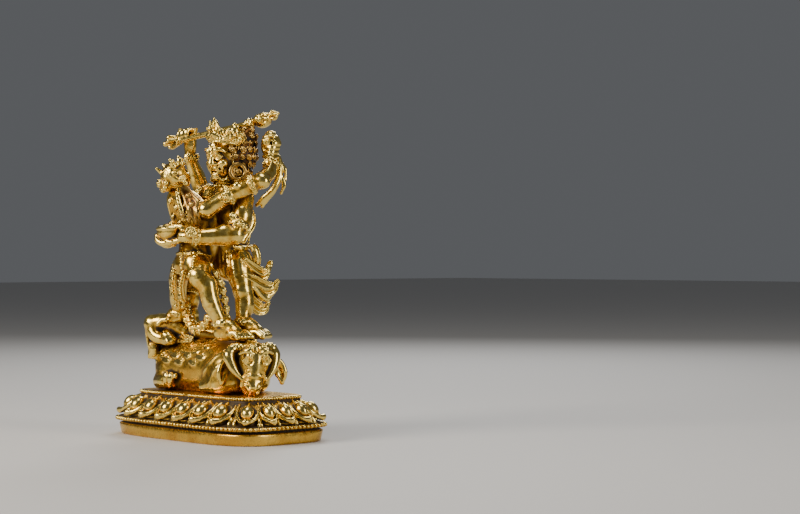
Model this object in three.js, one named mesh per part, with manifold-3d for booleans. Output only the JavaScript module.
// Gilt-bronze group on a lotus base: a wrathful god and his consort embrace, striding on a
// prone figure that lies on a buffalo. Millimetres, +Z up. The origin is at the centre of the
// base's underside, the god faces -Y and the buffalo's head is at the +X end.

import * as THREE from 'three';
import { mergeVertices } from 'three/addons/utils/BufferGeometryUtils.js';
import Module from 'manifold-3d';

const wasm = await Module();
wasm.setup();

// Driving dimensions of the base
const RIM_HALF_LENGTH = 68;
const RIM_HALF_WIDTH = 37.5;
const RIM_SQUARENESS = 3.9;
const PLATE_SQUARENESS = 6.5;
const FOOT_INSET = 1.8;
const FOOT_TOP = 6.6;
const RIM_LEVEL = 9.5;
const RIM_HALF_HEIGHT = 0.8;
const RECESS_INSET = 3.4;
const SLOPE_INSET = 5.5;
const PLATE_INSET = 14;
const PLATE_HEIGHT = 2.2;
const PLATE_BULGE = 0.6;
const BASE_TOP = 26;
const BASE_SIDES = 32;
const LONG_SIDE_PETALS = 6;
const SHORT_SIDE_PETALS = 3;
const CORNER_X = 57;
const CORNER_Y = 23.5;
const LONG_PITCH = (2 * CORNER_X) / (LONG_SIDE_PETALS + 1);
const SHORT_PITCH = (2 * CORNER_Y) / (SHORT_SIDE_PETALS + 1);
const CORNER_PITCH = (LONG_PITCH + SHORT_PITCH) / 2;

// A petal by rings, from the crest of its swelling to its root: reach and height
const PETAL_REACH = [0, 0.42, 0.72, 1, 0.6, 0];
const PETAL_HEIGHT = [5, 3.8, 1.6, -0.4, -3, -3];
const PETAL_HALF_LENGTH = 7.8;
const PETAL_TIP_LIFT = 1.7;
const PETAL_LEVEL = 17.1;
const PETAL_OUT = -1.4;
const PETAL_LEAN = new THREE.Vector2(-0.66, 0.75);
const PETAL_FILL = 0.49;
const PETAL_RING_INSET = 6;

// The clear space between the base and the group that stands on it
const JOINT_GAP = 0.3;

// The buffalo's head: where it is, and the way it looks
const BUFFALO_HEAD = [36.3, -3.6, 43];
const BUFFALO_LOOK = new THREE.Vector3(0.88, -0.44, -0.12).normalize();

// The god's joints. Left and right are his own: his left is at +X.
const god = {
  pelvis: [0, 8, 102],
  waist: [1, 8.5, 116],
  chest: [1, 7.5, 131],
  neck: [1, 6, 142],
  head: [1, 3, 160],
  leftShoulder: [13.5, 7, 138],
  leftElbow: [20.5, -4, 116.5],
  leftWrist: [7, -26, 115.5],
  leftHand: [-1, -30.5, 116],
  rightShoulder: [-13.5, 6, 140],
  rightElbow: [-25.5, 6.5, 143],
  rightWrist: [-29, 1, 162],
  rightHand: [-29.5, 0, 174.5],
  leftHip: [8, 7, 101],
  leftKnee: [16, 5.5, 84],
  leftAnkle: [18.5, 3, 66.5],
  leftHeel: [17.5, 4, 61],
  leftToes: [32.5, 8.5, 60.3],
  rightHip: [-8, 8, 101],
  rightKnee: [-30.5, -1, 88.5],
  rightAnkle: [-28.5, -1, 68.5],
  rightHeel: [-26, 0, 65],
  rightToes: [-39.5, -9.5, 63.8],
};

// The consort's joints. She faces the god, so her right is at +X.
const consort = {
  pelvis: [-4.5, -15, 100],
  waist: [-5, -15, 114],
  chest: [-5, -13, 128],
  neck: [-8.5, -17, 139],
  head: [-12, -22.5, 151],
  rightShoulder: [6.5, -13.5, 131],
  rightElbow: [27, 10, 148],
  rightWrist: [18.5, 24, 159.5],
  rightHand: [17, 26.5, 164],
  leftShoulder: [-15, -10, 131],
  leftElbow: [-22, 8, 139],
  leftHand: [-8, 20, 141],
  rightHip: [3, -16, 98],
  rightKnee: [11.5, -17, 88],
  rightAnkle: [18, -12, 66],
  rightHeel: [16.5, -10.5, 61],
  rightToes: [31.5, -6, 60],
  leftHip: [-10, -13.5, 98],
  leftKnee: [-22, -13, 91],
  leftAnkle: [-26, -9.5, 71],
  leftToes: [-35, -15.5, 66],
};

// The heights of the crowns' leaves, from the wearer's right to the left
const GOD_LEAVES = [9, 11.6, 12.4, 6.4, 6];
const CONSORT_LEAVES = [5, 5.8, 6.4, 5.8, 5];

// How far round the head a crown's leaves go, the way the god's crown leans, and how deep leaves are set
const CROWN_SPREAD = 1.25 * Math.PI;
const CROWN_LEAN = new THREE.Vector3(0.02, 0.15, 1);
const LEAF_SINK = 0.7;

// Where the instep stands along a foot, and how far it rises
const INSTEP_SHARE = 0.45;
const INSTEP_RISE = 1.2;

// How much farther out and higher the scarf's ends fly on his right
const FAR_SCARF_OUT = 8;
const FAR_SCARF_UP = 11;

// The club that the god swings behind his head
const CLUB_BUTT = [-33.5, -8.5, 171.8];
const CLUB_HEAD = [7, 26, 184];
const CLUB_TIP = [12.5, 30, 186.8];
const CLUB_END = [14.5, 31.5, 188];

const vector = (list) => new THREE.Vector3(...list);
const UP = new THREE.Vector3(0, 0, 1);
const FACING = new THREE.Vector3(0, 1, 0);

// A closed three.js geometry as a solid that can be joined and cut
function solid(geometry) {
  const bare = geometry.clone();
  bare.deleteAttribute('normal');
  bare.deleteAttribute('uv');
  const merged = mergeVertices(bare, 1e-3);
  const index = merged.index.array;
  const kept = [];
  for (let i = 0; i < index.length; i += 3) {
    const [a, b, c] = [index[i], index[i + 1], index[i + 2]];
    if (a !== b && b !== c && c !== a) kept.push(a, b, c);
  }
  return new wasm.Manifold(new wasm.Mesh({
    numProp: 3,
    vertProperties: new Float32Array(merged.attributes.position.array),
    triVerts: new Uint32Array(kept),
  }));
}

// A joined solid as a three.js geometry
function geometryOf(joined) {
  const mesh = joined.getMesh();
  const geometry = new THREE.BufferGeometry();
  geometry.setAttribute('position', new THREE.BufferAttribute(mesh.vertProperties, 3));
  geometry.setIndex(new THREE.BufferAttribute(mesh.triVerts, 1));
  geometry.computeVertexNormals();
  return geometry;
}

// An ellipsoid whose third half size runs along a direction and whose first lies across it
function ellipsoid(centre, halfSizes, { along = UP, across = null, sides = 6, rings = 4 } = {}) {
  const geometry = new THREE.SphereGeometry(1, sides, rings);
  geometry.rotateX(Math.PI / 2);
  geometry.scale(...halfSizes);
  const third = along.clone().normalize();
  const guide = across ?? (Math.abs(third.z) > 0.9 ? new THREE.Vector3(1, 0, 0) : UP.clone().cross(third));
  const second = third.clone().cross(guide).normalize();
  const first = second.clone().cross(third);
  geometry.applyMatrix4(new THREE.Matrix4().makeBasis(first, second, third));
  geometry.translate(...centre);
  return solid(geometry);
}

// The value at a share of the way along an evenly spaced list
function along(list, share) {
  const place = share * (list.length - 1);
  const index = Math.min(Math.floor(place), list.length - 2);
  return THREE.MathUtils.lerp(list[index], list[index + 1], place - index);
}

// The world axis that a curve never runs close to, so that its sections don't twist
function steadyAxis(curve) {
  const axes = [new THREE.Vector3(1, 0, 0), new THREE.Vector3(0, 1, 0), new THREE.Vector3(0, 0, 1)];
  const closest = axes.map((axis) => {
    const steps = Array.from({ length: 12 }, (_, i) => Math.abs(curve.getTangent(i / 11).dot(axis)));
    return Math.max(...steps);
  });
  return axes[closest.indexOf(Math.min(...closest))];
}

// A round or flattened limb that follows a smooth curve, with a radius for each point.
// Its width lies across the curve and the guide vector, and flat is depth over width.
function limb(points, radii, { sides = 6, guide = null, flat = 1, blunt = 0.45 } = {}) {
  const curve = new THREE.CatmullRomCurve3(points.map(vector), false, 'centripetal');
  const steady = guide ?? steadyAxis(curve);
  const rings = points.length - 1;
  const geometry = new THREE.CylinderGeometry(1, 1, 1, sides, rings, false);
  const position = geometry.attributes.position;
  for (let i = 0; i < position.count; i += 1) {
    const share = 0.5 - position.getY(i);
    const centre = curve.getPoint(share);
    const tangent = curve.getTangent(share);
    const width = steady.clone().cross(tangent).normalize();
    const depth = tangent.clone().cross(width);
    const radius = along(radii, share);
    const isCapCentre = Math.hypot(position.getX(i), position.getZ(i)) < 0.5;
    const push = isCapCentre ? Math.sign(share - 0.5) * radius * blunt : 0;
    centre.addScaledVector(width, position.getX(i) * radius);
    centre.addScaledVector(depth, position.getZ(i) * radius * flat);
    centre.addScaledVector(tangent, push);
    position.setXYZ(i, centre.x, centre.y, centre.z);
  }
  return solid(geometry);
}

// A place on the rounded-rectangle outline of the base, by an angle that crowds at the corners
function outlinePlace(angle, halfLength, halfWidth, squareness) {
  const bend = (value) => Math.sign(value) * Math.abs(value) ** (2 / squareness);
  return [halfLength * bend(Math.cos(angle)), halfWidth * bend(Math.sin(angle))];
}

// The turned base form: a profile of insets and levels, carried round the outline
function baseBody() {
  const profile = [
    [RIM_HALF_LENGTH, 0],
    [FOOT_INSET, 0],
    [FOOT_INSET, FOOT_TOP],
    [RECESS_INSET, FOOT_TOP + 1],
    [0, RIM_LEVEL - RIM_HALF_HEIGHT],
    [0, RIM_LEVEL + RIM_HALF_HEIGHT],
    [SLOPE_INSET, RIM_LEVEL + 2 * RIM_HALF_HEIGHT],
    [PLATE_INSET, BASE_TOP - PLATE_HEIGHT],
    [PLATE_INSET - PLATE_BULGE, BASE_TOP - PLATE_HEIGHT / 2],
    [PLATE_INSET, BASE_TOP],
    [RIM_HALF_LENGTH, BASE_TOP],
  ];
  const points = profile.map(([inset, level]) => new THREE.Vector2(RIM_HALF_LENGTH - inset, level));
  const geometry = new THREE.LatheGeometry(points, BASE_SIDES);
  const position = geometry.attributes.position;
  for (let i = 0; i < position.count; i += 1) {
    const level = position.getY(i);
    const reach = Math.hypot(position.getX(i), position.getZ(i));
    const angle = Math.atan2(position.getX(i), position.getZ(i));
    const squareness = THREE.MathUtils.mapLinear(level, 0, BASE_TOP, RIM_SQUARENESS, PLATE_SQUARENESS);
    const halfWidth = Math.max(0, reach - RIM_HALF_LENGTH + RIM_HALF_WIDTH);
    const [x, y] = reach < 1 ? [0, 0] : outlinePlace(angle, reach, halfWidth, squareness);
    position.setXYZ(i, x, y, level);
  }
  return solid(geometry);
}

// Where each petal stands on the outline, and the way it faces
function petalStations() {
  const stations = [];
  const across = (value, reach, other) =>
    other * (1 - Math.abs(value / reach) ** RIM_SQUARENESS) ** (1 / RIM_SQUARENESS);
  const halfLength = RIM_HALF_LENGTH - PETAL_RING_INSET;
  const halfWidth = RIM_HALF_WIDTH - PETAL_RING_INSET;
  for (const side of [-1, 1]) {
    for (let i = 1; i <= LONG_SIDE_PETALS; i += 1) {
      const x = CORNER_X * ((2 * i) / (LONG_SIDE_PETALS + 1) - 1);
      stations.push([x, side * across(x, halfLength, halfWidth), LONG_PITCH]);
    }
    for (let i = 1; i <= SHORT_SIDE_PETALS; i += 1) {
      const y = CORNER_Y * ((2 * i) / (SHORT_SIDE_PETALS + 1) - 1);
      stations.push([side * across(y, halfWidth, halfLength), y, SHORT_PITCH]);
    }
    for (const end of [-1, 1]) stations.push([end * CORNER_X, side * CORNER_Y, CORNER_PITCH]);
  }
  return stations.map(([x, y, pitch]) => {
    const steepX = Math.sign(x) * Math.abs(x / halfLength) ** (RIM_SQUARENESS - 1) / halfLength;
    const steepY = Math.sign(y) * Math.abs(y / halfWidth) ** (RIM_SQUARENESS - 1) / halfWidth;
    return { x, y, pitch, outward: new THREE.Vector3(steepX, steepY, 0).normalize() };
  });
}

// One lotus petal: a leaf that leans out, with its swelling, its groove, its rim and a lifted tip
function petal({ x, y, pitch, outward }) {
  const geometry = new THREE.SphereGeometry(1, 8, PETAL_REACH.length - 1);
  const position = geometry.attributes.position;
  const across = UP.clone().cross(outward);
  const along = outward.clone().multiplyScalar(PETAL_LEAN.x).addScaledVector(UP, PETAL_LEAN.y).normalize();
  const outof = across.clone().cross(along).negate();
  for (let i = 0; i < position.count; i += 1) {
    const drop = Math.acos(THREE.MathUtils.clamp(position.getY(i), -1, 1)) / Math.PI;
    const ring = Math.round(drop * (PETAL_REACH.length - 1));
    const angle = Math.atan2(position.getZ(i), position.getX(i));
    const isTip = Math.sin(angle) < -0.9 && (ring === 2 || ring === 3);
    const reach = PETAL_REACH[ring];
    const width = Math.cos(angle) * reach * PETAL_FILL * pitch;
    const length = Math.sin(angle) * reach * PETAL_HALF_LENGTH;
    const height = PETAL_HEIGHT[ring] + (isTip ? PETAL_TIP_LIFT : 0);
    const place = new THREE.Vector3(x, y, PETAL_LEVEL)
      .addScaledVector(outward, PETAL_OUT)
      .addScaledVector(across, width)
      .addScaledVector(along, length)
      .addScaledVector(outof, height);
    position.setXYZ(i, place.x, place.y, place.z);
  }
  return solid(geometry);
}

function lotusBase() {
  const pieces = petalStations().map(petal);
  return wasm.Manifold.union([baseBody(), ...pieces]).subtract(slabBelow(0));
}

// Everything below a level, to cut an underside flat
function slabBelow(level) {
  const depth = 60;
  const geometry = new THREE.BoxGeometry(300, 300, depth);
  geometry.translate(0, 0, level - depth / 2);
  return solid(geometry);
}

// The recumbent buffalo, its legs folded under it
function buffalo() {
  const belly = 38;
  const haunch = { sides: 10, across: new THREE.Vector3(0, 1, 0) };
  const pieces = [
    limb(
      [[-44, 0, belly], [-34, 0, belly + 1.5], [-14, 0, belly + 1], [8, 0, belly + 1.5], [24, 0, belly]],
      [9, 17.5, 18, 18, 13],
      { sides: 10, flat: 0.97, blunt: 0.2 },
    ),
    ellipsoid([-33, 0, 36], [19, 12, 11], haunch),
    ellipsoid([14, 0, 37], [19, 10, 13], haunch),
    limb([[12, 0, 45], [24, -1, 45], [33, -2.5, 44]], [11, 11.6, 9.4]),
    limb([[-44, 3, 46], [-47.4, 7, 38], [-44, 12, 30]], [2.2, 2, 2.6], { sides: 4 }),
  ];
  for (const side of [-1, 1]) {
    pieces.push(
      limb([[-37, side * 15, 31], [-29, side * 17.5, 31.5], [-20, side * 17, 29]], [4.6, 4, 3.6]),
      limb([[26, side * 10, 33], [18, side * 16, 31.5], [6, side * 17, 30]], [5, 4.6, 3.4], { sides: 5 }),
      buffaloHorn(side),
      buffaloEar(side),
    );
  }
  return pieces.concat(buffaloFace());
}

// A place in the buffalo's head: to its own left, forward along its look, and up
function inHead(left, forward, up) {
  const leftward = UP.clone().cross(BUFFALO_LOOK).normalize();
  const upward = BUFFALO_LOOK.clone().cross(leftward);
  return vector(BUFFALO_HEAD)
    .addScaledVector(leftward, left)
    .addScaledVector(BUFFALO_LOOK, forward)
    .addScaledVector(upward, up)
    .toArray();
}

function buffaloFace() {
  const eye = { along: BUFFALO_LOOK, sides: 5, rings: 3 };
  return [
    limb(
      [inHead(0, -2, 5.5), inHead(0, 2.5, 1.5), inHead(-1, 5.5, -6), inHead(-2, 7.5, -12.5)],
      [8.8, 9.4, 8, 6.2],
      { guide: BUFFALO_LOOK, sides: 8 },
    ),
    ellipsoid(inHead(-4.8, 9.2, 5), [2.8, 2.4, 2.6], eye),
    ellipsoid(inHead(6.2, 9.2, 5), [2.8, 2.4, 2.6], eye),
  ];
}

// A heavy horn that sweeps out from the brow and curls down beside the face
function buffaloHorn(side) {
  const points = [
    inHead(side * 4, 0, 9.5),
    inHead(side * 10.4, -0.6, 9.8),
    inHead(side * 13.4, 1.4, 5.8),
    inHead(side * 11.8, 5.4, -0.8),
    inHead(side * 7.6, 9.4, -6.4),
  ];
  return limb(points, [3, 3.3, 3.4, 2.6, 1.1], { sides: 5 });
}

function buffaloEar(side) {
  const points = [inHead(side * 6.5, -3, 3), inHead(side * 14.6, -3.4, -1), inHead(side * 17.4, -1, -10)];
  return limb(points, [2.6, 4.4, 1.6], { guide: BUFFALO_LOOK, flat: 0.5 });
}

// The prone figure along the buffalo's back: its drawn-up leg is at -X, its head at +X
function proneFigure() {
  return [
    limb([[-27, -3, 58], [-12, 1, 59], [0, 7, 57.5], [4.4, 13, 56.5]], [6.5, 5.6, 5.6, 4.2]),
    ellipsoid([5.5, 15.5, 56], [5, 5.2, 5.2]),
    limb(
      [[-25, -5, 60], [-36, -12, 65.5], [-43, -16.6, 65], [-39.5, -17, 58.5], [-32, -15, 56.5],
        [-26, -14.4, 56.5]],
      [5.6, 5.4, 5.2, 4.4, 3.6, 3.2],
    ),
    limb([[-28, 4, 58], [-41, -3, 57], [-45.2, -13, 55], [-42.6, -15.6, 48.5]], [5.4, 5.2, 5, 3.8]),
    limb([[-2, 6, 60], [-9, 15, 57], [-6, 20, 50]], [3, 2.8, 2.2], { sides: 5 }),
  ];
}

// A bare foot with its heel, high instep and toes
function foot(heel, toes) {
  const line = vector(toes).sub(vector(heel));
  const middle = vector(heel).addScaledVector(line, INSTEP_SHARE).addScaledVector(UP, INSTEP_RISE).toArray();
  return limb([heel, middle, toes], [4.4, 5.2, 3.8], { flat: 0.85, guide: UP, blunt: 0.6 });
}

// A ring of beads, heads or jewels set along a curve
function beadsAlong(points, radius, count, sides = 5, rings = 3) {
  const curve = new THREE.CatmullRomCurve3(points.map(vector), false, 'centripetal');
  const beads = [];
  for (let i = 0; i < count; i += 1) {
    const centre = curve.getPointAt(i / (count - 1)).toArray();
    beads.push(ellipsoid(centre, [radius, radius, radius], { sides, rings }));
  }
  return beads;
}

// A crown: a band and pointed leaves of the given heights round a head that leans along an axis
function crown(centre, axis, radius, heights, width, firstTurn) {
  const up = axis.clone().normalize();
  const front = new THREE.Vector3(Math.sin(firstTurn), -Math.cos(firstTurn), 0);
  const start = front.addScaledVector(up, -front.dot(up)).normalize();
  const pieces = [ellipsoid(centre, [radius + 0.8, radius + 0.8, 2.6], { along: up, sides: 8 })];
  const last = heights.length - 1;
  heights.forEach((height, i) => {
    const turn = ((i - last / 2) * CROWN_SPREAD) / last;
    const outward = start.clone().applyAxisAngle(up, turn);
    const place = vector(centre).addScaledVector(outward, radius);
    const geometry = new THREE.ConeGeometry(width, height, 4, 1);
    geometry.rotateX(Math.PI / 2);
    geometry.translate(0, 0, height / 2 - LEAF_SINK);
    const side = up.clone().cross(outward);
    const basis = new THREE.Matrix4().makeBasis(side, outward.clone().negate(), up);
    geometry.applyMatrix4(basis.setPosition(place));
    pieces.push(solid(geometry));
  });
  return pieces;
}

function godBody() {
  const { pelvis, waist, chest, neck, head } = god;
  return [
    limb(
      [pelvis, waist, chest, [1, 6.5, 140], [1, 4.5, 147], head],
      [11, 10, 12.8, 10, 6, 6],
      { sides: 8, flat: 0.78, guide: FACING },
    ),
    ellipsoid([0.5, 7.4, 104], [11.4, 9.4, 8.4], { sides: 8 }),
  ];
}

function godHead() {
  const [x, y, z] = god.head;
  return [
    ellipsoid([x, y - 0.5, z + 0.2], [8.4, 9, 12.4], { sides: 8, rings: 6 }),
    ellipsoid([x + 1.5, y + 8.5, z + 3], [11.5, 11, 10.5], { sides: 8, rings: 5 }),
    ellipsoid([x + 1.5, y + 11, z - 8], [8.5, 6.5, 8.5]),
    ellipsoid([x, y - 9.6, z - 1.5], [1.8, 1.8, 3], { sides: 4, rings: 3 }),
    ellipsoid([x + 1, y + 6.8, z + 14], [5, 5, 5.5]),
    ellipsoid([x + 1.5, y + 15.2, z + 13.5], [6.5, 7, 8.5]),
    ...crown([x, y + 1, z + 10.8], CROWN_LEAN, 9.2, GOD_LEAVES, 3.2, 0.12),
    ...earrings(),
  ];
}

// The two big ring earrings beside the god's neck
function earrings() {
  return [-1, 1].map((side) => {
    const geometry = new THREE.TorusGeometry(4.4, 1.4, 4, 7);
    geometry.rotateY(Math.PI / 2);
    geometry.rotateZ(-side * 0.5);
    geometry.translate(god.head[0] + side * 10.2, god.head[1] + 2.2, god.head[2] - 6.8);
    return solid(geometry);
  });
}

function godArms() {
  return [
    limb(
      [god.leftShoulder, [18.5, 2.5, 127], god.leftElbow, [14, -15, 115.5], god.leftWrist, god.leftHand,
        [-8, -31.5, 116.5]],
      [6.4, 6, 5.6, 5.6, 4.2, 4.8, 2.8],
    ),
    limb(
      [[1, 8, 139], god.rightShoulder, [-20, 6.8, 140.5], god.rightElbow, [-27.8, 4.5, 152], god.rightWrist,
        god.rightHand, [-29, -0.5, 179]],
      [6.5, 6.2, 5.6, 5.1, 4.8, 3.6, 4.8, 3],
    ),
    limb([[1, 8, 139], god.leftShoulder], [6.5, 6.2]),
    skullCup([-8.6, -29.2, 118.4]),
  ];
}

// A skull cup with a heaped filling, held in an open hand
function skullCup([x, y, z]) {
  return ellipsoid([x, y, z], [7.8, 6.8, 6.8], { sides: 8 });
}

function godLegs() {
  return [
    limb(
      [god.pelvis, god.leftHip, [12, 5.8, 94], god.leftKnee, [17, 5, 76], god.leftAnkle, god.leftHeel],
      [8, 9.4, 7.8, 5.6, 5.4, 3.9, 3.4],
    ),
    foot(god.leftHeel, god.leftToes),
    limb(
      [god.pelvis, god.rightHip, [-20, 4.5, 97], god.rightKnee, [-30.5, 1, 78], god.rightAnkle,
        god.rightHeel],
      [8, 9.6, 8.8, 6.4, 6, 4, 3.4],
    ),
    foot(god.rightHeel, god.rightToes),
  ];
}

// The club: staff, jewelled butt, skull and half thunderbolt
function club() {
  return [
    limb([CLUB_BUTT, CLUB_HEAD], [1.8, 1.8]),
    ellipsoid(CLUB_BUTT, [3.4, 3.4, 5], { along: vector(CLUB_HEAD).sub(vector(CLUB_BUTT)) }),
    ellipsoid(CLUB_HEAD, [5, 5, 5.6]),
    limb([CLUB_HEAD, CLUB_TIP, CLUB_END], [2.6, 3.4, 1.4]),
  ];
}

function consortBody() {
  const { pelvis, waist, chest, neck, head } = consort;
  const lean = vector(head).sub(vector(neck)).add(new THREE.Vector3(0, 0, 6));
  const [x, y, z] = head;
  return [
    limb(
      [pelvis, waist, chest, [-6.5, -14.5, 135], neck, head],
      [9.5, 7.8, 10, 7, 4.8, 5],
      { sides: 8, flat: 0.85, guide: FACING },
    ),
    ellipsoid([x, y, z], [8, 8.4, 8.8], { along: lean, sides: 8, rings: 5 }),
    ellipsoid([x - 2, y - 4.5, z - 5.5], [5.4, 5.4, 5.8]),
    ...crown([x, y + 2.5, z + 4.4], lean, 6.4, CONSORT_LEAVES, 2.6, Math.PI),
    limb([[-12, -24.5, 142], [-12, -24, 132], [-9, -22, 121]], [3.6, 4, 2], { flat: 0.6 }),
    ellipsoid([-4, -17.6, 100], [10, 7.8, 8.4], { sides: 8 }),
    ellipsoid([-3, -3.5, 118], [8, 8, 19]),
  ];
}

function consortLimbs() {
  return [
    limb(
      [[-5, -12, 131], consort.rightShoulder, [16, -3, 140], consort.rightElbow, [23.5, 18.5, 153],
        consort.rightWrist, consort.rightHand, [16.4, 26, 169]],
      [5.6, 5, 5.2, 4.8, 4.2, 3.4, 4.4, 3.4],
    ),
    ellipsoid([16, 25.4, 172.6], [5.4, 5, 5.8]),
    limb(
      [[-5, -12, 131], consort.leftShoulder, [-20.5, -1, 136], consort.leftElbow, [-17, 17, 141],
        consort.leftHand],
      [5.6, 4.8, 4.6, 4.4, 3.6, 3.2],
    ),
    limb(
      [consort.pelvis, consort.rightHip, [7, -19, 93], consort.rightKnee, [14, -16, 78], consort.rightAnkle,
        consort.rightHeel],
      [7, 7.8, 7, 5.4, 5.4, 3.8, 3.3],
    ),
    foot(consort.rightHeel, consort.rightToes),
    limb(
      [consort.pelvis, consort.leftHip, [-16, -14.5, 97], consort.leftKnee, [-24.5, -11.5, 80],
        consort.leftAnkle, consort.leftToes],
      [7, 7.8, 7, 5.6, 5.2, 3.8, 2.8],
    ),
  ];
}

// The garland of heads between the legs, the strand beside the consort's standing leg, and the bone
// aprons over her thighs
function garlandAndAprons() {
  const swag = [[-26, -6, 80], [-20, -8, 69], [-9, -9.5, 63], [2, -9.5, 67], [8, -9.5, 79]];
  const strand = [[8, -13, 99], [13.5, -9, 88], [16.5, -8.2, 78], [18.6, -8.6, 70], [18.6, -10, 63]];
  const hung = { flat: 0.5, guide: FACING };
  return [
    ...beadsAlong(swag, 3.5, 11),
    limb(strand, [2, 2, 2, 2, 2], { sides: 5 }),
    limb([[-15, -19, 98], [-17, -19.6, 88], [-17.5, -17.8, 77]], [4.4, 5, 3.2], hung),
    limb([[-1.5, -22.5, 96], [-3.5, -23.6, 88], [-3.5, -22.8, 77]], [3.6, 4.2, 2.8], hung),
  ];
}

// Ribbons of cloth: the scarf that loops round the shoulders and the swirling ends at the hips.
// On his right they fly farther out and higher, behind the bent leg, and leave the space between the legs.
function scarves() {
  const edgeOut = new THREE.Vector3(0.6, 0.8, 0);
  const ribbon = (points, widths, flat = 0.4) => limb(points, widths, { sides: 4, guide: edgeOut, flat });
  const pieces = [
    ribbon(
      [[14, 25, 165], [19, 29.4, 162], [22, 28, 152], [21.2, 23.8, 143], [16.6, 19.6, 137.4],
        [12.6, 17.2, 134]],
      [1.9, 2, 2.3, 2.5, 2.7, 1.3],
    ),
    ribbon(
      [[-10, 20, 141], [-16, 27, 158], [-21, 27, 151], [-19, 21, 142], [-10, 13, 134]],
      [2.6, 2.4, 3.8, 4, 4],
    ),
    ribbon([[12, 12, 134], [15.5, 12, 124], [16.5, 4, 113]], [2, 2.8, 2.6]),
    ribbon([[9, 12, 110], [14, 15, 109], [15, 16, 101], [11.6, 13.4, 94]], [2, 2.6, 2.6, 2.2]),
  ];
  for (const side of [-1, 1]) {
    const away = side < 0 ? FAR_SCARF_OUT : 0;
    const raised = side < 0 ? FAR_SCARF_UP : 0;
    const place = (out, y, z) => [side * (out + away), y, z + raised];
    pieces.push(
      ellipsoid(place(11.8, 13.4, 89), [5, 4.8, 13]),
      ribbon([place(8.6, 12.4, 95.4), place(12.6, 20.4, 93), place(14.5, 26, 100.5)], [4.8, 4.8, 1.8], 0.5),
      ribbon([place(9.5, 13, 90.4), place(14.4, 21.6, 84.6), place(18, 28.4, 89)], [5, 5.2, 1.8], 0.5),
      ribbon([place(11, 13, 82), place(12.6, 17.6, 75.6), place(14.8, 21.6, 76)], [4.6, 4.6, 1.8], 0.5),
    );
  }
  return pieces;
}

function figureGroup() {
  const pieces = [
    ...buffalo(),
    ...proneFigure(),
    ...godBody(),
    ...godHead(),
    ...godArms(),
    ...godLegs(),
    ...club(),
    ...consortBody(),
    ...consortLimbs(),
    ...garlandAndAprons(),
    ...scarves(),
  ];
  return wasm.Manifold.union(pieces).subtract(slabBelow(BASE_TOP + JOINT_GAP));
}

const giltBronze = () => new THREE.MeshStandardMaterial({ color: 0xb8862e, roughness: 0.34, metalness: 1 });

function named(name, joined) {
  const mesh = new THREE.Mesh(geometryOf(joined), giltBronze());
  mesh.name = name;
  return mesh;
}

const part = new THREE.Group();
part.add(named('lotus_base', lotusBase()));
part.add(named('figure_group', figureGroup()));

export default part;
